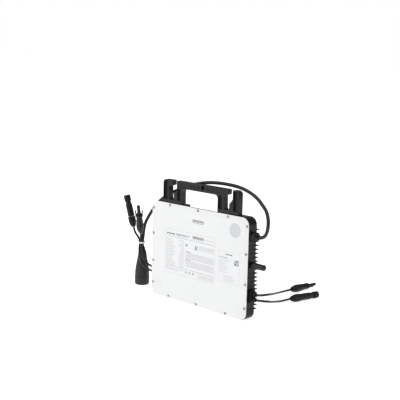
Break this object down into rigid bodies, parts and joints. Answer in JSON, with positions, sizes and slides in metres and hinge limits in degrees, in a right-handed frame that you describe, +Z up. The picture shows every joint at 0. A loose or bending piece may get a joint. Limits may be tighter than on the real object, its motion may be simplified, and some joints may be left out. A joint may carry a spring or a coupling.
{
  "type": "string inverter",
  "caption": "Slim finned solar inverter that stands on its edge, with a carrying bracket, mains cable and plug, solar leads with connectors, and a stub antenna.",
  "frame": {"origin": "middle of the housing's flat bottom, on which the inverter stands", "axes": "+X across the cover to the mains gland's side, +Y from the cover to the heat sink, +Z up"},
  "size_m": [0.5419, 0.4017, 0.3324],
  "materials": {
    "cover": "fine-textured pale powder coat",
    "cast": "black powder-coated die casting",
    "plastic": "black moulded glass-filled plastic",
    "rubber": "matt black",
    "steel": "stainless",
    "brass": "plated",
    "board": "green solder mask",
    "ferrite": "sintered, dark grey",
    "copper": "lacquered copper wire",
    "sleeve": "shrink sleeve",
    "white_plastic": "white nylon"
  },
  "bodies": {
    "unit": {"antenna_socket": "brass", "bracket_screw_1": "steel", "bracket_screw_2": "steel", "bracket_screw_3": "steel", "bracket_screw_4": "steel", "cable_tie": "white_plastic", "carrying_bracket": "plastic", "choke_core": "ferrite", "choke_winding": "copper", "cover_screw_1": "steel", "cover_screw_10": "steel", "cover_screw_11": "steel", "cover_screw_12": "steel", "cover_screw_13": "steel", "cover_screw_14": "steel", "cover_screw_2": "steel", "cover_screw_3": "steel", "cover_screw_4": "steel", "cover_screw_5": "steel", "cover_screw_6": "steel", "cover_screw_7": "steel", "cover_screw_8": "steel", "cover_screw_9": "steel", "cover_seal": "rubber", "front_cover": "cover", "gland_body": "plastic", "gland_dome_nut": "plastic", "gland_lock_nut": "plastic", "gland_seal": "rubber", "housing": "cast", "input_capacitor_1": "sleeve", "input_capacitor_2": "sleeve", "main_board": "board", "mains_cable": "rubber", "mains_terminal_block": "white_plastic", "pin_body_left": "plastic", "pin_body_right": "plastic", "pin_nut_left": "plastic", "pin_nut_right": "plastic", "plug_body": "rubber", "plug_boot": "rubber", "plug_cap": "rubber", "plug_insert": "steel", "pressure_vent": "plastic", "radio_module": "steel", "socket_body_left": "plastic", "socket_body_right": "plastic", "socket_nut_left": "plastic", "socket_nut_right": "plastic", "solar_gland_frame_left": "plastic", "solar_gland_frame_right": "plastic", "solar_gland_seal_left": "rubber", "solar_gland_seal_right": "rubber", "solar_pin_lead_left": "rubber", "solar_pin_lead_right": "rubber", "solar_socket_lead_left": "rubber", "solar_socket_lead_right": "rubber", "transformer_core": "ferrite", "transformer_winding": "copper"},
    "antenna": {"antenna": "rubber"}
  },
  "joints": [
    {"name": "antenna_turn", "type": "hinge", "parent": "unit", "child": "antenna", "pos_m": [0.173, 0, 0.1415], "axis": [1, 0, 0], "continuous": true}
  ]
}
